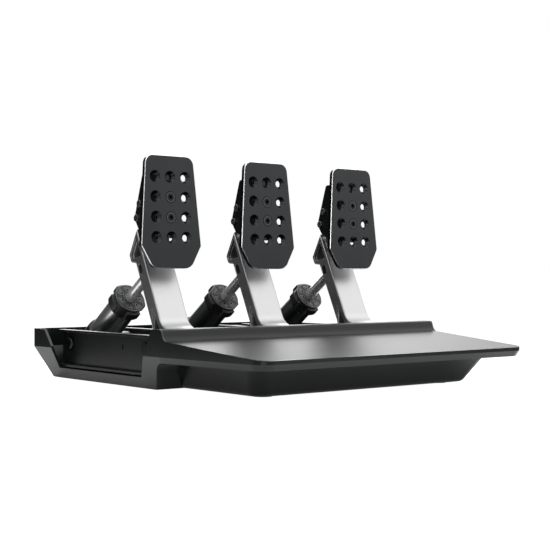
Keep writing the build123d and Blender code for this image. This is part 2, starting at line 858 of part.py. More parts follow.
def make_arm(x):
    """Cast arm: hub, leaning bar with a slot for the rod's eye, head, and the plate's tongue."""
    plane = arm_plane(x)
    front = -arm_depth / 2
    rear = arm_depth / 2
    with BuildPart() as arm:
        with BuildSketch(plane) as outline:
            with BuildLine():
                Polyline(
                    (front, 0),
                    (rear, 0),
                    (rear, head_low),
                    (head_rear, head_mid),
                    (head_rear, head_high),
                    (front, head_top),
                    close=True,
                )
            make_face()
            Circle(hub_radius)
            roots = outline.vertices().filter_by(lambda v: 0 < v.Y < hub_radius and abs(v.X) < hub_side_radius)
            fillet(roots, foot_blend)
            corners = outline.vertices().filter_by(lambda v: v.X > rear and v.Y > head_low)
            fillet(corners, head_round)
        extrude(amount=arm_width / 2, both=True)
        sides = arm.faces().filter_by(Axis.X)
        fillet(sides.edges(), arm_edge_radius)
        with BuildSketch(plane):
            Circle(hub_side_radius)
        extrude(amount=bracket_inner / 2 - bush_flange - side_gap, both=True)

        # tongue inside the plate's bracket, with the holes for its bolts
        with BuildSketch(carrier_plane(x)):
            with BuildLine():
                Polyline(
                    (tongue_front, -tongue_low),
                    (tongue_front, tongue_top),
                    (carrier_rear(tongue_top) - tongue_inset, tongue_top),
                    (carrier_corner_rear - tongue_inset, -carrier_corner_low),
                    (carrier_heel_rear - tongue_inset, -carrier_heel_low),
                    (carrier_heel_rear - tongue_inset, -tongue_low),
                    close=True,
                )
            make_face()
        extrude(amount=tongue_width / 2, both=True)
        with BuildSketch(carrier_plane(x)):
            with Locations((upper_bolt_rear, upper_bolt_high), (lower_bolt_rear, -lower_bolt_low)):
                Circle(carrier_bolt_radius + fixed_gap)
        extrude(amount=tongue_width, both=True, mode=Mode.SUBTRACT)

        # slot in the back for the rod's eye, shaft and pin holes
        with BuildSketch(plane) as slot:
            with BuildLine():
                Polyline(
                    (front + rod_slot_wall, rod_slot_low),
                    (front + rod_slot_wall, rod_slot_high),
                    (head_rear + cut_over, rod_slot_high),
                    (head_rear + cut_over, rod_slot_low),
                    close=True,
                )
            make_face()
            fillet(slot.vertices().group_by(Axis.X)[0], pocket_round)
        extrude(amount=rod_slot_width / 2, both=True, mode=Mode.SUBTRACT)
        with BuildSketch(plane):
            Circle(shaft_radius + fixed_gap)
            with Locations((link_behind, link_along)):
                Circle(pin_radius + fixed_gap)
        extrude(amount=bracket_inner, both=True, mode=Mode.SUBTRACT)

        # pockets in both sides: head, foot, and the recess over the pin's ends
        for side in (-1, 1):
            face = plane.offset(side * arm_width / 2)
            with BuildSketch(face) as head_pocket:
                with BuildLine():
                    Polyline(
                        (front, head_pocket_front),
                        (head_rear, head_pocket_rear),
                        (head_rear, head_high),
                        (front, head_top),
                        close=True,
                    )
                make_face()
                offset(amount=-head_pocket_rim, kind=Kind.INTERSECTION)
                fillet(head_pocket.vertices(), pocket_round)
            extrude(amount=-side * pocket_depth, mode=Mode.SUBTRACT)
            with BuildSketch(face) as foot_pocket:
                with BuildLine():
                    Polyline(
                        (front + foot_pocket_rim, foot_pocket_low),
                        (rear, foot_pocket_low),
                        (rear, foot_pocket_mid),
                        (front + foot_pocket_tip, foot_pocket_top),
                        close=True,
                    )
                make_face()
                fillet(foot_pocket.vertices().group_by(Axis.Y)[0], pocket_round)
            extrude(amount=-side * foot_pocket_depth, mode=Mode.SUBTRACT)
            with BuildSketch(face):
                with Locations((link_behind, link_along - (pin_recess_length - pin_recess_width) / 2)):
                    SlotOverall(pin_recess_length, pin_recess_width, rotation=90)
            extrude(amount=-side * pin_recess_depth, mode=Mode.SUBTRACT)
    return arm.part


def make_pin(x):
    with BuildPart() as pin:
        with BuildSketch(arm_plane(x)):
            with Locations((link_behind, link_along)):
                Circle(pin_radius)
        extrude(amount=arm_width / 2 - pin_recess_depth, both=True)
    return pin.part


def make_carrier(x):
    """Channel behind the pedal plate: a web on the plate's back and two deep side walls."""
    inner = tongue_width / 2 + carrier_gap
    web = plate_thickness + carrier_web
    with BuildPart() as carrier:
        with BuildSketch(carrier_plane(x)) as outline:
            with BuildLine():
                Polyline(
                    (plate_thickness, -carrier_bottom),
                    (plate_thickness, carrier_top),
                    (carrier_top_rear, carrier_top),
                    (carrier_corner_rear, -carrier_corner_low),
                    (carrier_heel_rear, -carrier_heel_low),
                    (web, -carrier_bottom),
                    close=True,
                )
            make_face()
            fillet(outline.vertices().filter_by(lambda v: v.X > web), carrier_round)
        extrude(amount=inner + carrier_wall, both=True)
        with BuildSketch(carrier_plane(x)):
            with Locations((web, 0)):
                Rectangle(carrier_corner_rear, 2 * (carrier_top + cut_over), align=(Align.MIN, Align.CENTER))
        extrude(amount=inner, both=True, mode=Mode.SUBTRACT)
        with BuildSketch(carrier_plane(x)):
            with Locations((upper_bolt_rear, upper_bolt_high), (lower_bolt_rear, -lower_bolt_low)):
                Circle(carrier_bolt_radius + fixed_gap)
        extrude(amount=arm_width, both=True, mode=Mode.SUBTRACT)
        with BuildSketch(plate_plane(x).offset(-plate_thickness)):
            with GridLocations(0, hole_pitch_y, 1, 2):
                Circle(screw_radius + fixed_gap)
        extrude(amount=-carrier_web - cut_over, mode=Mode.SUBTRACT)
    return carrier.part


def carrier_bolts(x):
    """Two bolts that clamp the bracket's walls on the arm's tongue, heads on the left."""
    outer = tongue_width / 2 + carrier_gap + carrier_wall
    bolts = []
    for spot in ((upper_bolt_rear, upper_bolt_high), (lower_bolt_rear, -lower_bolt_low)):
        centre = carrier_plane(x - outer).from_local_coords(spot)
        plane = Plane(origin=centre, x_dir=-plate_back, z_dir=(-1, 0, 0))
        bolts.append(hex_cap_screw(
            plane, carrier_bolt_radius, 2 * outer + carrier_bolt_end, carrier_bolt_head_radius,
            carrier_bolt_head, small_head_round, carrier_bolt_hex, carrier_bolt_hex_depth,
        ))
    return Compound(children=bolts)


def make_plate(x):
    """Pedal plate: narrow at the top, widest low down, with a grid of countersunk holes."""
    half_outline = [
        (plate_top_half, plate_top),
        (plate_knee_half, -plate_knee),
        (plate_bottom_half, -plate_bottom),
    ]
    mirrored = [(-across, up) for across, up in reversed(half_outline)]
    with BuildPart() as plate:
        with BuildSketch(plate_plane(x)) as outline:
            with BuildLine():
                Polyline(*half_outline, *mirrored, close=True)
            make_face()
            rows = outline.vertices().group_by(Axis.Y)
            fillet(rows[-1], plate_top_round)
            fillet(rows[1], plate_knee_round)
            fillet(rows[0], plate_bottom_round)
        extrude(amount=-plate_thickness)
        face = plate.faces().sort_by_distance(shifted(plate_face, x) - plate_back * base_width)[0]
        chamfer(face.edges(), plate_bevel)
        with BuildSketch(plate_plane(x)):
            with GridLocations(hole_pitch_x, hole_pitch_y, 3, 4):
                Circle(hole_radius)
        extrude(amount=-plate_thickness - cut_over, mode=Mode.SUBTRACT)
        with Locations(plate_plane(x)):
            with GridLocations(hole_pitch_x, hole_pitch_y, 3, 4):
                Cone(
                    hole_radius, hole_sink_radius, hole_sink_radius - hole_radius,
                    align=(Align.CENTER, Align.CENTER, Align.MAX), mode=Mode.SUBTRACT,
                )
    return plate.part


def plate_screws(x):
    screws = []
    for row in (-1, 1):
        centre = plate_plane(x).from_local_coords((0, row * hole_pitch_y / 2))
        plane = Plane(origin=centre, x_dir=(1, 0, 0), z_dir=-plate_back)
        screws.append(flat_screw(
            plane, screw_radius, screw_head_radius, screw_length, screw_hex, screw_hex_depth
        ))
    return Compound(children=screws)


for name, x in pedals.items():
    save(make_shaft(x), f"{name}_pivot_shaft")
    save(make_arm(x), f"{name}_arm")
    save(make_pin(x), f"{name}_rod_pin")
    save(make_carrier(x), f"{name}_plate_bracket")
    save(carrier_bolts(x), f"{name}_bracket_bolts")
    save(make_plate(x), f"{name}_plate")
    save(plate_screws(x), f"{name}_plate_screws")


def axis_plane(x):
    """Side view of a cylinder: first axis along it, second axis across it."""
    return Plane(origin=shifted(axis_foot, x), x_dir=axis_way, z_dir=(1, 0, 0))


def make_rod(x):
    """Push rod: a tail in the piston, the polished rod, and the eye on the arm's pin."""
    rod_start = piston_start + piston_length
    with BuildPart() as rod:
        for start, end, radius in (
            (piston_start, rod_start, tail_radius),
            (rod_start, axis_length, rod_radius),
        ):
            with BuildSketch(cylinder_plane(x, start)):
                Circle(radius)
            extrude(amount=end - start)
        with BuildSketch(axis_plane(x)):
            with Locations((axis_length, 0)):
                Circle(eye_radius)
        extrude(amount=eye_width / 2, both=True)
        with BuildSketch(axis_plane(x)):
            with Locations((axis_length, 0)):
                Circle(pin_radius + eye_gap)
        extrude(amount=eye_width, both=True, mode=Mode.SUBTRACT)
    return rod.part


def make_piston(x):
    with BuildPart() as piston:
        with BuildSketch(cylinder_plane(x, piston_start)):
            Circle(tube_bore - running_gap)
            Circle(tail_radius + fixed_gap, mode=Mode.SUBTRACT)
        extrude(amount=piston_length)
        with BuildSketch(cylinder_plane(x, piston_start + (piston_length - piston_groove) / 2)):
            Circle(tube_bore)
            Circle(tube_bore - piston_groove_depth, mode=Mode.SUBTRACT)
        extrude(amount=piston_groove, mode=Mode.SUBTRACT)
    return piston.part


def make_tube(x):
    with BuildPart() as tube:
        with BuildSketch(cylinder_plane(x, lower_cap_above)):
            Circle(tube_radius)
        extrude(amount=tube_end - lower_cap_above)
        with BuildSketch(cylinder_plane(x, lower_cap_above)):
            Circle(tube_bore)
        extrude(amount=tube_end - gland_length - lower_cap_above, mode=Mode.SUBTRACT)
        with BuildSketch(cylinder_plane(x, tube_end)):
            Circle(rod_radius + running_gap)
        extrude(amount=-gland_length - cut_over, mode=Mode.SUBTRACT)
    return tube.part


def make_lower_cap(x):
    """Cap that closes the tube below and swings on the bracket's bolt."""
    with BuildPart() as cap:
        with BuildSketch(cylinder_plane(x, -lower_cap_below)):
            Circle(lower_cap_radius)
        extrude(amount=lower_cap_below + lower_cap_above)
        fillet(cap.edges().filter_by(GeomType.CIRCLE), lower_cap_round)
        with BuildSketch(cylinder_plane(x, lower_cap_above)):
            Circle(tube_bore - fixed_gap)
        extrude(amount=spigot_length)
        with BuildSketch(side_plane(x)):
            with Locations((trunnion.Y, trunnion.Z)):
                Circle(trunnion_hub_radius)
        extrude(amount=bracket_inner / 2 - side_gap, both=True)
        with BuildSketch(side_plane(x)):
            with Locations((trunnion.Y, trunnion.Z)):
                Circle(trunnion_radius + running_gap)
        extrude(amount=bracket_inner, both=True, mode=Mode.SUBTRACT)
    return cap.part


def petal_outline(inset):
    """One petal of the knob's face, pointing along the first axis, moved in by inset."""
    spread = tan(radians(180 / knob_petals))
    inner_half = petal_inner * spread - petal_rib / 2 - inset
    outer_half = petal_outer * spread - petal_rib / 2 - inset
    with BuildSketch() as petal:
        with BuildLine():
            Polyline(
                (petal_inner + inset, -inner_half),
                (petal_outer, -outer_half),
                (petal_outer, outer_half),
                (petal_inner + inset, inner_half),
                close=True,
            )
        make_face()
        fillet(petal.vertices().group_by(Axis.X)[0], petal_round)
    return petal.sketch


def make_knob(x):
    """Preload adjuster: a thin skirt over the tube with four grips, and a face with petals."""
    skirt_end = knob_start + knob_length - knob_face
    top = cylinder_plane(x, knob_start + knob_length)
    with BuildPart() as knob:
        with BuildSketch(top):
            Circle(knob_radius)
        extrude(amount=-knob_face)
        fillet(knob.edges().filter_by(GeomType.CIRCLE), knob_edge_radius)
        with BuildSketch(cylinder_plane(x, knob_start)):
            Circle(knob_skirt_radius)
        extrude(amount=knob_length - knob_face)

        # grips on the skirt, each a turned piece that tapers at its lower end
        for index in range(knob_lobes):
            start = 360 * index / knob_lobes - knob_lobe_angle / 2
            across = Vector(1, 0, 0).rotate(Axis((0, 0, 0), axis_way), start)
            with BuildSketch(Plane(origin=shifted(axis_foot, x), x_dir=axis_way, z_dir=across)) as grip:
                with BuildLine():
                    Polyline(
                        (knob_start, tube_radius + knob_gap),
                        (knob_start, knob_skirt_radius),
                        (knob_start + knob_lobe_taper, knob_lobe_radius),
                        (skirt_end, knob_lobe_radius),
                        (skirt_end, tube_radius + knob_gap),
                        close=True,
                    )
                make_face()
                outer = grip.vertices().filter_by(lambda v: v.Y > knob_skirt_radius)
                fillet(outer, knob_lobe_round)
            revolve(axis=Axis(shifted(axis_foot, x), axis_way), revolution_arc=knob_lobe_angle)

        # room for the tube and the rod
        with BuildSketch(cylinder_plane(x, knob_start)):
            Circle(tube_radius + knob_gap)
        extrude(amount=knob_length - knob_face, mode=Mode.SUBTRACT)
        with BuildSketch(top):
            Circle(rod_radius + knob_gap)
        extrude(amount=-knob_length, mode=Mode.SUBTRACT)

        # petals, groove and holes in the face
        with BuildSketch(top):
            with PolarLocations(0, knob_petals, start_angle=90):
                add(petal_outline(0))
                add(petal_outline(petal_groove), mode=Mode.SUBTRACT)
        extrude(amount=-petal_depth, mode=Mode.SUBTRACT)
        with BuildSketch(top):
            Circle(knob_radius - knob_rim)
            Circle(knob_radius - knob_rim - knob_groove, mode=Mode.SUBTRACT)
        extrude(amount=-petal_depth, mode=Mode.SUBTRACT)
        with BuildSketch(top):
            with PolarLocations(petal_hole_place, knob_petals, start_angle=90):
                Circle(petal_hole_radius)
        extrude(amount=-petal_hole_depth, mode=Mode.SUBTRACT)
    return knob.part


def make_spring(x):
    start = lower_cap_above + spigot_length + spring_wire
    height = piston_start - spring_wire - start
    with BuildPart() as spring:
        with BuildLine() as coil:
            Helix(
                pitch=height / spring_turns, height=height, radius=spring_radius,
                center=shifted(axis_foot, x) + axis_way * start, direction=axis_way,
            )
        wire = coil.line
        with BuildSketch(Plane(origin=wire @ 0, z_dir=wire % 0)):
            RegularPolygon(spring_wire, spring_sides)
        sweep(path=wire, is_frenet=True)
    return spring.part


def make_stack(x, start, lengths, radius):
    """Rings along a cylinder's axis, one after each start place."""
    rings = []
    for place, length in zip(start, lengths):
        with BuildPart() as ring:
            with BuildSketch(cylinder_plane(x, place)):
                Circle(radius)
                Circle(rubber_bore, mode=Mode.SUBTRACT)
            extrude(amount=length)
        rings.append(ring.part)
    return Compound(children=rings)


for name, x in pedals.items():
    save(make_rod(x), f"{name}_rod")
    save(make_piston(x), f"{name}_piston")
    save(make_tube(x), f"{name}_tube")
    save(make_lower_cap(x), f"{name}_lower_cap")
    save(make_knob(x), f"{name}_knob")

for name in ("clutch", "throttle"):
    save(make_spring(pedals[name]), f"{name}_spring")

# the brake's rubbers with a steel washer between each two
stack_start = lower_cap_above + spigot_length
stack_length = piston_start - stack_start
rubber_length = (stack_length - (rubber_count - 1) * washer_thickness) / rubber_count
stack_pitch = rubber_length + washer_thickness
rubber_places = [stack_start + index * stack_pitch for index in range(rubber_count)]
washer_places = [place - washer_thickness for place in rubber_places[1:]]
save(make_stack(0, rubber_places, [rubber_length] * rubber_count, rubber_radius), "brake_rubbers")
save(make_stack(0, washer_places, [washer_thickness] * rubber_count, washer_radius), "brake_washers")

# Controller behind the brake and the throttle, with its socket in the rear wall
box_centre = (box_middle, box_rear - box_depth / 2)
board_top = at_z(socket_rise) - socket_height / 2
board_length = box_width - 2 * box_wall - 2 * board_gap
board_depth = box_depth - 2 * box_wall - 2 * board_gap
with BuildPart() as controller_box:
    with BuildSketch(Plane.XY.offset(at_z(box_low))):
        with Locations(box_centre):
            Rectangle(box_width, box_depth)
    extrude(amount=box_top - box_low)
    with BuildSketch(Plane.XY.offset(at_z(box_low) + box_wall)):
        with Locations(box_centre):
            Rectangle(box_width - 2 * box_wall, box_depth - 2 * box_wall)
    extrude(amount=box_top - box_low, mode=Mode.SUBTRACT)
    with BuildSketch(Plane.XY.offset(at_z(box_low))):
        with Locations(box_centre):
            with GridLocations(board_length - 2 * board_post_inset, board_depth - 2 * board_post_inset, 2, 2):
                Circle(board_post)
    extrude(amount=board_top - board_thickness - at_z(box_low))
    with BuildSketch(Plane.XZ.offset(-box_rear - cut_over)):
        with Locations((box_middle, at_z(socket_rise))):
            Rectangle(socket_width + 2 * socket_gap, socket_height + 2 * socket_gap)
    extrude(amount=box_wall + 2 * cut_over, mode=Mode.SUBTRACT)
save(controller_box.part, "controller_box")

with BuildPart() as controller_lid:
    with BuildSketch(Plane.XY.offset(at_z(box_top))) as lid_outline:
        with Locations(box_centre):
            Rectangle(box_width, box_depth)
        fillet(lid_outline.vertices(), head_round)
    extrude(amount=box_lid)
save(controller_lid.part, "controller_lid")

with BuildPart() as controller_board:
    with BuildSketch(Plane.XY.offset(board_top)):
        with Locations(box_centre):
            Rectangle(board_length, board_depth)
    extrude(amount=-board_thickness)
save(controller_board.part, "controller_board")

with BuildPart() as data_socket:
    with BuildSketch(Plane.XZ.offset(-rear_y)):
        with Locations((box_middle, at_z(socket_rise))):
            Rectangle(socket_width, socket_height)
    extrude(amount=socket_depth)
    with BuildSketch(Plane.XZ.offset(-rear_y)):
        with Locations((box_middle, at_z(socket_rise))):
            Rectangle(socket_width - 2 * socket_wall, socket_height - 2 * socket_wall)
    extrude(amount=socket_depth - socket_wall, mode=Mode.SUBTRACT)
save(data_socket.part, "data_socket")
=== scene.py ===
import json
from math import radians, tan

import bmesh
import bpy
from mathutils import Matrix, Vector


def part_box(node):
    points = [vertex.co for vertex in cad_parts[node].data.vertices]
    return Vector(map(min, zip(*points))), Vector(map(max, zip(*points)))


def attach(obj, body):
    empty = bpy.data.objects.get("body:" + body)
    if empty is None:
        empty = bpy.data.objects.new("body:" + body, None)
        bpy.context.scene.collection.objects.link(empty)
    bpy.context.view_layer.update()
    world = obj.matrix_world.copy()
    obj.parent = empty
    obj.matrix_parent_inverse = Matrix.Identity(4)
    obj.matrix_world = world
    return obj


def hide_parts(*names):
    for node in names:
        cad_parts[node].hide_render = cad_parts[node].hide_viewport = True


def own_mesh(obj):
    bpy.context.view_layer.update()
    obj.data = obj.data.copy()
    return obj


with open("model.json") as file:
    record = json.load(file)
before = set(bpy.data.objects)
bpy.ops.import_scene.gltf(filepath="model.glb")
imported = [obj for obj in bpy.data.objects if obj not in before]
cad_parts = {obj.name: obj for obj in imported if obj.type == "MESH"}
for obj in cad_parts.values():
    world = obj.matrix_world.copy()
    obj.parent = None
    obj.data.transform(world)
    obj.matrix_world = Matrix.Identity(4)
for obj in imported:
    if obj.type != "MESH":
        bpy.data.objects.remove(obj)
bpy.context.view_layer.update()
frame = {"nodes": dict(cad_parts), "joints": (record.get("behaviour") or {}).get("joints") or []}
nodes = frame["nodes"]
pedalNames = ("clutch", "brake", "throttle")
print("frame loaded,", len(nodes), "nodes")


def findJoint(name):
    return next(joint for joint in frame["joints"] if joint["name"] == name)


def everyPedal(part):
    return [f"{pedal}_{part}" for pedal in pedalNames]


def addObject(name, data):
    made = bpy.data.objects.new(name, data)
    bpy.context.scene.collection.objects.link(made)
    return made


def finishMesh(shape, name):
    mesh = bpy.data.meshes.new(name)
    shape.to_mesh(mesh)
    shape.free()
    return mesh


# One value in a node tree; arithmetic on wires adds Math nodes.
class Wire:
    def __init__(self, board, socket):
        self.board = board
        self.socket = socket

    def calculate(self, operation, *others):
        return self.board.node("ShaderNodeMath", {"operation": operation}, dict(enumerate((self, *others))))

    def __add__(self, other):
        return self.calculate("ADD", other)

    def __sub__(self, other):
        return self.calculate("SUBTRACT", other)

    def __mul__(self, other):
        return self.calculate("MULTIPLY", other)

    def __rsub__(self, other):
        return self * -1 + other

    def __abs__(self):
        return self.calculate("ABSOLUTE")

    def __lt__(self, other):
        return self.calculate("LESS_THAN", other)

    def __gt__(self, other):
        return self.calculate("GREATER_THAN", other)

    __radd__ = __add__
    __rmul__ = __mul__

    # 0 below low, 1 above high, smooth between
    def rise(self, low, high):
        return self.board.node(
            "ShaderNodeMapRange", {"interpolation_type": "SMOOTHSTEP"}, {0: self, 1: low, 2: high},
        )

    # A value from 0 to 1 made to run from low to high
    def stretch(self, low, high):
        return self * (high - low) + low


# A node tree; node is the one method that adds to it.
class Board:
    def __init__(self, tree):
        self.tree = tree

    def node(self, kind, settings, sockets, output=0):
        made = self.tree.nodes.new(kind)
        for name, value in settings.items():
            setattr(made, name, value)
        for name, value in sockets.items():
            self.join(value, made.inputs[name])
        return Wire(self, made.outputs[output])

    # Colours are written as three numbers and are always opaque.
    def join(self, value, socket):
        if isinstance(value, Wire):
            self.tree.links.new(value.socket, socket)
        elif socket.type == "RGBA":
            socket.default_value = (*value, 1)
        else:
            socket.default_value = value

    # 1 where two directions are the same, 0 where they are square to each other
    def alike(self, first, second):
        return self.node(
            "ShaderNodeVectorMath", {"operation": "DOT_PRODUCT"}, {0: first, 1: second}, "Value",
        )

    # 1 for what the camera looks at, 0 for what lights the object or is mirrored in it
    def inView(self):
        return self.node("ShaderNodeLightPath", {}, {}, "Is Camera Ray")


edgeLooks = {
    "rounding": 0.0004,
    "highlightShows": (0.02, 0.14),          # how far the surface has to turn for the painted highlight to start, and to be full
    "samples": 6,
}


# A material with its nodes; its patterns lie in the object's own coordinates.
class Paint(Board):
    def __init__(self, name, metallic=0.0, specular=0.5):
        self.material = bpy.data.materials.new(name)
        self.material.use_nodes = True
        super().__init__(self.material.node_tree)
        self.shader = self.tree.nodes["Principled BSDF"]
        self.place = self.node("ShaderNodeTexCoord", {}, {}, "Object")
        self.feed("Metallic", metallic)
        self.feed("Specular IOR Level", specular)

    def feed(self, name, value):
        self.join(value, self.shader.inputs[name])

    def moved(self, origin=(0, 0, 0), turn=(0, 0, 0), scale=(1, 1, 1)):
        return self.node(
            "ShaderNodeMapping", {"vector_type": "TEXTURE"},
            {"Vector": self.place, "Location": origin, "Rotation": turn, "Scale": scale},
        )

    def noise(self, scale, detail, vector=None):
        return self.node(
            "ShaderNodeTexNoise", {}, {"Vector": vector or self.place, "Scale": scale, "Detail": detail},
        )

    def axes(self, vector):
        split = self.node("ShaderNodeSeparateXYZ", {}, {0: vector}).socket.node
        return [Wire(self, output) for output in split.outputs]

    def mixed(self, share, first, second):
        return self.node("ShaderNodeMix", {"data_type": "RGBA"}, {0: share, 6: first, 7: second}, 2)

    def facing(self):
        return self.node("ShaderNodeNewGeometry", {}, {}, "Normal")

    def rounded(self, radius):
        return self.node("ShaderNodeBevel", {"samples": edgeLooks["samples"]}, {"Radius": radius})

    # 1 on the edges of a piece, where a highlight is painted, 0 on its flat faces
    def paintedHighlight(self, radius):
        turning = 1 - self.alike(self.rounded(radius), self.facing())
        return turning.rise(*edgeLooks["highlightShows"])

    # Surface relief, over edges that are slightly rounded
    def bump(self, height, distance):
        rounded = self.rounded(edgeLooks["rounding"])
        self.feed("Normal", self.node(
            "ShaderNodeBump", {}, {"Height": height, "Distance": distance, "Normal": rounded},
        ))

    # A roughness that drifts over the surface and a fine grain; gives the drift, for the colours.
    # Drift and grain are each a noise, by its scale and detail.
    def grained(self, finish):
        drift = self.noise(*finish["drift"])
        self.feed("Roughness", drift.stretch(*finish["roughness"]))
        self.bump(self.noise(*finish["grain"]), finish["grainHeight"])
        return drift


def dress(paint, *names):
    for name in names:
        mesh = nodes[name].data
        mesh.materials.clear()
        mesh.materials.append(paint.material)


viewFrom = {
    "place": (-0.8022, -0.9878, 0.1091),
    "towards": (0.6303, 0.7764, 0.0007),
    "lens": 79.84,                      # millimetres, as is the sensor's width
    "sensor": 36,
}


def makeCamera():
    data = bpy.data.cameras.new("photoView")
    data.lens = viewFrom["lens"]
    data.sensor_width = viewFrom["sensor"]
    camera = addObject("photoView", data)
    camera.location = viewFrom["place"]
    camera.rotation_euler = Vector(viewFrom["towards"]).to_track_quat("-Z", "Y").to_euler()
    bpy.context.scene.camera = camera


paleFloor = {
    "size": 9,
    "near": (0.9, 0.9, 0.9),
    "far": (0.06, 0.06, 0.06),
    "fades": (0.26, 0.55),              # near inside the first distance from the middle, far past the second
    "nearGlow": 0.1,                    # light of its own, added to near
    "roughness": 1,
    "specular": 0,
    "unlit": (0, 0, 0),
    "white": (1, 1, 1),                 # what the camera sees; near and far only light the object
}


def makeFloor():
    plate = bmesh.new()
    bmesh.ops.create_grid(plate, x_segments=1, y_segments=1, size=paleFloor["size"] / 2)
    floor = addObject("paleFloor", finishMesh(plate, "paleFloor"))
    paint = Paint("paleFloorPaint", specular=paleFloor["specular"])
    away = paint.node("ShaderNodeVectorMath", {"operation": "LENGTH"}, {0: paint.place}, "Value")
    share = away.rise(*paleFloor["fades"])
    paint.feed("Base Color", paint.mixed(share, paleFloor["near"], paleFloor["far"]))
    paint.feed("Roughness", paleFloor["roughness"])
    seen = paint.inView()
    glow = seen + (1 - seen) * (1 - share) * paleFloor["nearGlow"]
    paint.feed("Emission Color", paint.mixed(glow, paleFloor["unlit"], paleFloor["white"]))
    paint.feed("Emission Strength", 1)
    floor.data.materials.append(paint.material)


studio = {
    "white": (1, 1, 1),
    "roomLight": 0.05,                  # from every side
    "softLights": {                     # reach is how nearly a direction has to be the light's own
        "frontRight": {"towards": (0.6, -0.52, 0.6), "reach": (0.6, 0.95), "strength": 1.45},
        "frontLow": {"towards": (0.74, -0.66, 0.05), "reach": (0.8, 0.99), "strength": 0.5},
        "nearCamera": {"towards": (-0.63, -0.776, 0.05), "reach": (0.94, 0.995), "strength": 5.0},
        "behind": {"towards": (0.454, 0.727, 0.515), "reach": (0.86, 0.985), "strength": 4.9},
        "above": {"towards": (0.2, 0.0, 0.98), "reach": (0.35, 0.95), "strength": 1.1},
        "leftAbove": {"towards": (-0.6, -0.25, 0.74), "reach": (0.82, 0.97), "strength": 1.4},
    },
}


# Soft light from a few sides for the object, plain white for the camera
def lightRoom():
    world = bpy.data.worlds.new("studioRoom")
    bpy.context.scene.world = world
    world.use_nodes = True
    room = Board(world.node_tree)
    sight = room.node("ShaderNodeTexCoord", {}, {}, "Generated")
    light = studio["roomLight"]
    for lamp in studio["softLights"].values():
        near = room.alike(sight, Vector(lamp["towards"]).normalized())
        light = near.rise(*lamp["reach"]) * lamp["strength"] + light
    seen = room.inView()
    background = world.node_tree.nodes["Background"]
    room.join(studio["white"], background.inputs["Color"])
    room.join(seen + (1 - seen) * light, background.inputs["Strength"])
    bpy.context.scene.view_settings.view_transform = "Standard"


makeCamera()
makeFloor()
lightRoom()
print("camera and studio set")

trayCoat = {
    "specular": 0.4,
    "dark": (0.004, 0.0048, 0.0052),
    "light": (0.0075, 0.0088, 0.0092),
    # painted highlight along the tray's edges
    "edgeHighlightColour": (0.03, 0.033, 0.034),
    "edge": 0.0005,
    "drift": (22, 4),
    "roughness": (0.16, 0.22),
    "grain": (1400, 2),
    "grainHeight": 0.00006,
}

bracketCoat = {
    "specular": 0.3,
    "dark": (0.003, 0.0035, 0.0035),
    "light": (0.006, 0.0068, 0.007),
    # painted highlight along the brackets' edges
    "edgeHighlightColour": (0.03, 0.032, 0.033),
    "edge": 0.0006,
    "drift": (30, 4),
    "roughness": (0.26, 0.34),
    "grain": (1800, 2),
    "grainHeight": 0.00004,
}


# Black powder coat, with a highlight painted paler along its edges
def coatSteel(name, coat, *names):
    paint = Paint(name, specular=coat["specular"])
    black = paint.mixed(paint.grained(coat), coat["dark"], coat["light"])
    paint.feed("Base Color", paint.mixed(paint.paintedHighlight(coat["edge"]), black, coat["edgeHighlightColour"]))
    dress(paint, *names)


heelMetal = {
    "specular": 0.18,
    "dark": (0.009, 0.0094, 0.0098),
    "light": (0.014, 0.0146, 0.015),
    "streak": (30, 3),
    "streakSize": (4, 1 / 60, 1 / 60),  # stretched across the plate, fine the other ways
    "streakShare": 0.6,                 # the rest of the colour's change is drift
    "drift": (9, 2),
    "roughness": (0.36, 0.42),
    "grainHeight": 0.00002,
}


def finishHeelPlate():
    paint = Paint("heelMetal", specular=heelMetal["specular"])
    streak = paint.noise(*heelMetal["streak"], paint.moved(scale=heelMetal["streakSize"]))
    share = heelMetal["streakShare"]
    tone = streak * share + paint.noise(*heelMetal["drift"]) * (1 - share)
    paint.feed("Base Color", paint.mixed(tone, heelMetal["dark"], heelMetal["light"]))
    paint.feed("Roughness", streak.stretch(*heelMetal["roughness"]))
    paint.bump(streak, heelMetal["grainHeight"])
    dress(paint, "heel_plate")


coatSteel("trayCoat", trayCoat, "base_tray")
coatSteel("bracketBlack", bracketCoat, *everyPedal("bracket"), *everyPedal("plate_bracket"))
finishHeelPlate()
print("base finished")


def pedalMiddle(pedal):
    low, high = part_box(f"{pedal}_plate")
    return (low[0] + high[0]) / 2


castArm = {
    "dark": (0.36, 0.36, 0.364),
    "light": (0.425, 0.425, 0.429),
    # painted highlight along the arm's rounded edges
    "edgeHighlightColour": (0.9, 0.9, 0.9),
    "edge": 0.0013,
    # painted shade in the pockets and slots
    "pocketShadeColour": (0.1, 0.1, 0.102),
    "pocketWall": 0.016,                # nearer the arm's middle than this, faces lie in a pocket or slot
    "pocketFacing": 0.9,                # and only those that face sideways at least this much get painted shade
    "drift": (35, 4),
    "roughness": (0.34, 0.44),
    "grain": (1500, 2),
    "grainHeight": 0.00003,
}


def finishArm(pedal):
    paint = Paint(f"{pedal}ArmSatin", metallic=1)
    across = paint.axes(paint.moved(origin=(pedalMiddle(pedal), 0, 0)))[0]
    sideways = paint.axes(paint.facing())[0]
    pocket = (abs(sideways) > castArm["pocketFacing"]) * (abs(across) < castArm["pocketWall"])
    satin = paint.mixed(paint.grained(castArm), castArm["dark"], castArm["light"])
    shaded = paint.mixed(pocket, satin, castArm["pocketShadeColour"])
    # the arm's edges get a painted highlight
    paint.feed("Base Color", paint.mixed(paint.paintedHighlight(castArm["edge"]), shaded, castArm["edgeHighlightColour"]))
    dress(paint, f"{pedal}_arm")


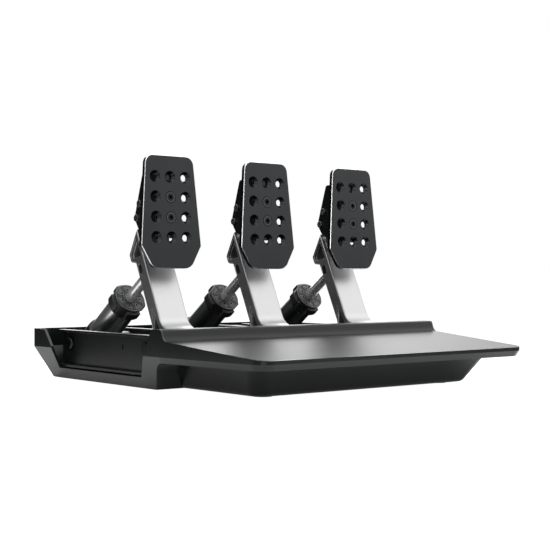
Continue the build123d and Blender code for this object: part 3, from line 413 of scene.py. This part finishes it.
plateShape = {
    "halfOutline": ((-0.028, 0.0515), (-0.0355, -0.038), (-0.0227, -0.0604)),
    "cornerRadii": (0.009, 0.004, 0.011),
    "cornerSteps": 8,
    "thickness": 0.0045,
    "faceBevel": 0.0006,
    "holeGrid": (3, 4),
    "holePitch": (0.0178, 0.02),
    "holeRadius": 0.0033,
    "sinkRadius": 0.0061,
    "holeSteps": 40,
    "lean": radians(2.75),
    "faceMiddle": (0.013, 0.1769),      # the middle of the holes, back and up
    "smoothBelow": radians(35),
}

plateFinish = {
    "dark": (0.028, 0.0295, 0.0305),
    "light": (0.037, 0.039, 0.04),
    "bevelColour": (0.85, 0.85, 0.86),
    "bevel": (0.00004, 0.0007),         # behind the face, where the cut edge is bright
    "insideHoles": (0.0245, 0.0365),    # half width and height of the field of holes
    "drift": (40, 3),
    "roughness": (0.27, 0.35),
    "grain": (1600, 2),
    "grainHeight": 0.00002,
}

plateScrew = {
    "black": (0.02, 0.02, 0.021),
    # colour of the painted highlight ring
    "paintedHighlight": (0.12, 0.12, 0.125),
    "ring": (0.0039, 0.0049),           # radii of the ring where a highlight is painted
    "highlightNoise": (900, 2),
    "drift": (60, 3),
    "roughness": (0.3, 0.4),
    "grain": (1200, 2),
    "grainHeight": 0.00002,
}


def plateMiddle(pedal):
    return pedalMiddle(pedal), *plateShape["faceMiddle"]


# Distances across the plate, behind its face and up it
def plateAxes(paint, pedal):
    return paint.axes(paint.moved(origin=plateMiddle(pedal), turn=(-plateShape["lean"], 0, 0)))


def paintPlate(pedal):
    paint = Paint(f"{pedal}PlateBlack", metallic=1)
    across, depth, height = plateAxes(paint, pedal)
    front, rear = plateFinish["bevel"]
    halfWidth, halfHeight = plateFinish["insideHoles"]
    cutEdge = (depth > front) * (depth < rear)
    field = (abs(across) < halfWidth) * (abs(height) < halfHeight)
    black = paint.mixed(paint.grained(plateFinish), plateFinish["dark"], plateFinish["light"])
    paint.feed("Base Color", paint.mixed(cutEdge * (1 - field), black, plateFinish["bevelColour"]))
    return paint.material


def newVerts(made):
    return [item for item in made["geom"] if isinstance(item, bmesh.types.BMVert)]


def newEdges(made):
    return [item for item in made["geom"] if isinstance(item, bmesh.types.BMEdge)]


# The face's outline, flat, with its corners rounded; reach is where an arc meets the straight edge.
def drawOutline(shape):
    half = plateShape["halfOutline"]
    outline = [*half, *((-across, up) for across, up in reversed(half))]
    corners = [shape.verts.new((across, up, 0)) for across, up in outline]
    shape.faces.new(corners)
    radii = plateShape["cornerRadii"]
    for corner, radius in zip(corners, [*radii, *reversed(radii)]):
        first, second = (edge.other_vert(corner).co - corner.co for edge in corner.link_edges)
        reach = radius / tan(first.angle(second) / 2)
        bmesh.ops.bevel(
            shape, geom=[corner], offset=reach, offset_type="OFFSET", affect="VERTICES",
            segments=plateShape["cornerSteps"], profile=0.5, material=-1,
        )


# Places of the hole centres on the flat face
def holeCentres():
    columns, rows = plateShape["holeGrid"]
    stepAcross, stepUp = plateShape["holePitch"]
    return [
        Vector(((column - (columns - 1) / 2) * stepAcross, (row - (rows - 1) / 2) * stepUp, 0))
        for column in range(columns) for row in range(rows)
    ]


# A countersunk hole from its rim at the face; gives the rim at the back
def sinkHole(shape, rim, centre):
    sinkDepth = plateShape["sinkRadius"] - plateShape["holeRadius"]
    narrow = plateShape["holeRadius"] / plateShape["sinkRadius"]
    made = bmesh.ops.extrude_edge_only(shape, edges=rim)
    bmesh.ops.scale(shape, vec=(narrow, narrow, 1), space=Matrix.Translation(-centre), verts=newVerts(made))
    bmesh.ops.translate(shape, vec=(0, 0, -sinkDepth), verts=newVerts(made))
    made = bmesh.ops.extrude_edge_only(shape, edges=newEdges(made))
    bmesh.ops.translate(shape, vec=(0, 0, sinkDepth - plateShape["thickness"]), verts=newVerts(made))
    return newEdges(made)


def makePlate(pedal):
    shape = bmesh.new()
    drawOutline(shape)

    # The walls go back, the face comes forward by its bevel
    face = next(iter(shape.faces))
    bevel = plateShape["faceBevel"]
    made = bmesh.ops.extrude_edge_only(shape, edges=list(shape.edges))
    bmesh.ops.translate(shape, vec=(0, 0, bevel - plateShape["thickness"]), verts=newVerts(made))
    backRims = newEdges(made)
    bmesh.ops.inset_region(shape, faces=[face], thickness=bevel, depth=bevel, use_even_offset=True)
    bmesh.ops.translate(shape, vec=(0, 0, -bevel), verts=shape.verts)
    frontRims = list(face.edges)
    bmesh.ops.delete(shape, geom=[face], context="FACES_ONLY")

    for centre in holeCentres():
        circle = bmesh.ops.create_circle(
            shape, segments=plateShape["holeSteps"], radius=plateShape["sinkRadius"],
            matrix=Matrix.Translation(centre),
        )
        rim = list({edge for vert in circle["verts"] for edge in vert.link_edges})
        frontRims += rim
        backRims += sinkHole(shape, rim, centre)
    bmesh.ops.triangle_fill(shape, use_beauty=True, edges=frontRims, normal=(0, 0, 1))
    bmesh.ops.triangle_fill(shape, use_beauty=True, edges=backRims, normal=(0, 0, -1))
    bmesh.ops.recalc_face_normals(shape, faces=shape.faces)
    stand = Matrix.Rotation(radians(90) - plateShape["lean"], 4, "X")
    bmesh.ops.transform(shape, matrix=Matrix.Translation(plateMiddle(pedal)) @ stand, verts=shape.verts)
    for facet in shape.faces:
        facet.smooth = True

    piece = addObject(f"{pedal}RoundedPlate", finishMesh(shape, f"{pedal}RoundedPlate"))
    piece.data.set_sharp_from_angle(angle=plateShape["smoothBelow"])
    piece.data.materials.append(paintPlate(pedal))
    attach(piece, f"{pedal}_pedal")
    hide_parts(f"{pedal}_plate")


# The two screws stand half a step above and below the middle of the field of holes.
def finishPlateScrews(pedal):
    paint = Paint(f"{pedal}ScrewBlack", metallic=1)
    paint.grained(plateScrew)
    across, _, height = plateAxes(paint, pedal)
    up = abs(height) - plateShape["holePitch"][1] / 2
    away = across * across + up * up
    inner, outer = plateScrew["ring"]
    # A painted highlight: a lighter, broken ring on each screw head
    ringHighlight = (away > inner ** 2) * (away < outer ** 2) * paint.noise(*plateScrew["highlightNoise"])
    paint.feed("Base Color", paint.mixed(ringHighlight, plateScrew["black"], plateScrew["paintedHighlight"]))
    dress(paint, f"{pedal}_plate_screws")


for pedal in pedalNames:
    finishArm(pedal)
    makePlate(pedal)
    finishPlateScrews(pedal)
print("arms and plates finished")


# A point on the axis of a pedal's cylinder, and the way it runs, up towards the knob
def cylinderLine(pedal):
    joint = findJoint(f"{pedal}_preload_turn")
    return Vector(joint["pos_m"]), Vector(joint["axis"]).normalized()


# Two distances across the cylinder and the one along it
def cylinderAxes(paint, pedal):
    origin, axis = cylinderLine(pedal)
    return paint.axes(paint.moved(origin=origin, turn=axis.to_track_quat("Z", "X").to_euler()))


def levelsAlong(pedal, *parts):
    origin, axis = cylinderLine(pedal)
    meshes = [nodes[f"{pedal}_{part}"].data for part in parts]
    return [(vertex.co - origin).dot(axis) for mesh in meshes for vertex in mesh.vertices]


lighterBy = 1.15                        # from a finish's colour to its lighter tone


def lighter(colour):
    return tuple(lighterBy * share for share in colour)


turned = {
    "drift": (45, 3),
    "driftRoughness": 0.06,
    "lineDetail": 2,
    "lineRoughness": 0.08,
    "styles": {
        "rod": {
            "metallic": 0.78, "colour": (0.82, 0.82, 0.83), "roughness": 0.2,
            "lines": 9000, "lineDepth": 0.000002,
        },
        "bright": {
            "metallic": 1, "colour": (0.86, 0.86, 0.87), "roughness": 0.22,
            "lines": 4000, "lineDepth": 0.000006,
        },
        "dark": {
            "metallic": 1, "colour": (0.26, 0.265, 0.27), "roughness": 0.24,
            "lines": 4000, "lineDepth": 0.000006,
        },
    },
}


# Fine lines round a cylinder's axis, as a lathe leaves them
def turnedMetal(style, pedal, part):
    finish = turned["styles"][style]
    paint = Paint(f"{pedal}{style.capitalize()}Turned", metallic=finish["metallic"])
    along = cylinderAxes(paint, pedal)[2]
    level = paint.node("ShaderNodeCombineXYZ", {}, {"Z": along})
    line = paint.noise(finish["lines"], turned["lineDetail"], level)
    drift = paint.noise(*turned["drift"])
    paint.feed("Base Color", paint.mixed(drift, finish["colour"], lighter(finish["colour"])))
    uneven = line * turned["lineRoughness"] + drift * turned["driftRoughness"]
    paint.feed("Roughness", uneven + finish["roughness"])
    paint.bump(line, finish["lineDepth"])
    dress(paint, f"{pedal}_{part}")


knobPlastic = {
    # the face is painted lighter than the sides: a painted sheen
    "faceSheenColour": (0.042, 0.043, 0.045),
    "faceShade": (0.8, 1.2),            # how much of the face's colour shows, as it drifts
    "faceEdge": 0.0012,                 # the face's colour goes this far down the sides
    "sideColour": (0.012, 0.012, 0.013),
    # painted highlight on the knob's rim and edges
    "edgeHighlightColour": (0.34, 0.34, 0.345),
    "edge": 0.0006,
    # painted shade in the face's grooves and holes
    "grooveShadeColour": (0.006, 0.006, 0.006),
    "grooveRadius": 0.0152,             # the grooves and holes of the face lie within it
    "grooveDepth": 0.0003,              # deeper than this counts as a groove
    "drift": (60, 4),
    "roughness": (0.38, 0.5),
    "grain": (1300, 2),
    "grainHeight": 0.00003,
}


def finishKnob(pedal):
    paint = Paint(f"{pedal}KnobPlastic")
    drift = paint.grained(knobPlastic)
    faceLevel = max(levelsAlong(pedal, "knob"))
    sideways, upwards, along = cylinderAxes(paint, pedal)
    inside = (sideways * sideways + upwards * upwards) < knobPlastic["grooveRadius"] ** 2
    # painted shade in the grooves and holes
    groove = inside * (along < faceLevel - knobPlastic["grooveDepth"])
    # painted sheen: the face is lighter than the sides
    face = (along > faceLevel - knobPlastic["faceEdge"]) * drift.stretch(*knobPlastic["faceShade"])
    moulded = paint.mixed(face, knobPlastic["sideColour"], knobPlastic["faceSheenColour"])
    # painted highlight on the outer edges
    edge = paint.paintedHighlight(knobPlastic["edge"]) * (1 - inside)
    rimmed = paint.mixed(edge, moulded, knobPlastic["edgeHighlightColour"])
    paint.feed("Base Color", paint.mixed(groove, rimmed, knobPlastic["grooveShadeColour"]))
    dress(paint, f"{pedal}_knob")


smallGrain = {
    "drift": (60, 4),
    "grain": (1200, 2),
    "grainHeight": 0.00002,
}

smallParts = {
    "capBlack": {
        "metallic": 1, "colour": (0.04, 0.042, 0.045), "roughness": (0.3, 0.42),
        "names": everyPedal("lower_cap"),
    },
    "turnedSteel": {
        "metallic": 1, "colour": (0.5, 0.5, 0.51), "roughness": (0.25, 0.37),
        "names": ["clutch_spring", "throttle_spring", "brake_washers", "data_socket"],
    },
    "blackScrew": {
        "metallic": 1, "colour": (0.03, 0.03, 0.032), "roughness": (0.3, 0.42),
        "names": [
            "heel_plate_screws", "bracket_screws", "trunnion_bolts", "trunnion_nuts", *everyPedal("rod_pin"),
        ],
    },
    "boltSteel": {
        "metallic": 1, "colour": (0.2, 0.2, 0.205), "roughness": (0.25, 0.37),
        "names": everyPedal("bracket_bolts"),
    },
    "blackBush": {
        "metallic": 1, "colour": (0.018, 0.019, 0.02), "roughness": (0.35, 0.47),
        "names": ["pivot_bushes", *everyPedal("pivot_shaft")],
    },
    "blackPlastic": {
        "metallic": 0, "colour": (0.02, 0.02, 0.021), "roughness": (0.45, 0.57),
        "names": ["sensor_housings", "controller_box", "controller_lid", *everyPedal("piston")],
    },
    "boardGreen": {
        "metallic": 0, "colour": (0.01, 0.08, 0.03), "roughness": (0.4, 0.52),
        "names": ["controller_board"],
    },
    "footRubber": {
        "metallic": 0, "colour": (0.012, 0.012, 0.012), "roughness": (0.75, 0.87),
        "names": ["rubber_feet"],
    },
    "redRubber": {
        "metallic": 0, "colour": (0.3, 0.03, 0.015), "roughness": (0.6, 0.72),
        "names": ["brake_rubbers"],
    },
}


def finishSmallParts(name, finish):
    paint = Paint(name, metallic=finish["metallic"])
    drift = paint.grained({**smallGrain, **finish})
    paint.feed("Base Color", paint.mixed(drift, finish["colour"], lighter(finish["colour"])))
    dress(paint, *finish["names"])


for pedal in pedalNames:
    finishKnob(pedal)
    turnedMetal("rod", pedal, "rod")
    turnedMetal("bright" if pedal == "clutch" else "dark", pedal, "tube")
for name, finish in smallParts.items():
    finishSmallParts(name, finish)
print("cylinders and small parts finished")

squeezed = {
    "parts": {"clutch": ("spring",), "brake": ("rubbers", "washers"), "throttle": ("spring",)},
    "mergeWithin": 0.000001,            # the solids' meshes are loose triangles
}


# The piston squeezes what stands below it; a copy of that, its loose triangles merged, takes its place on
# the cylinder
def squeezeStack(pedal, parts):
    slide = findJoint(f"{pedal}_rod_slide")
    origin, axis = cylinderLine(pedal)
    levels = levelsAlong(pedal, *parts)
    length = max(levels) - min(levels)
    for part in parts:
        node = nodes[f"{pedal}_{part}"]
        shape = bmesh.new()
        shape.from_mesh(node.data)
        bmesh.ops.remove_doubles(shape, verts=shape.verts, dist=squeezed["mergeWithin"])
        name = f"{pedal}Squeezed{part.capitalize()}"
        piece = addObject(name, finishMesh(shape, name))
        piece.data.materials.append(node.data.materials[0])
        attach(piece, f"{pedal}_cylinder")
        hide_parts(f"{pedal}_{part}")
        tuple(origin + axis * min(levels))
        1 - slide["range_m"][1] / length
        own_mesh(piece)


for pedal, parts in squeezed["parts"].items():
    squeezeStack(pedal, parts)
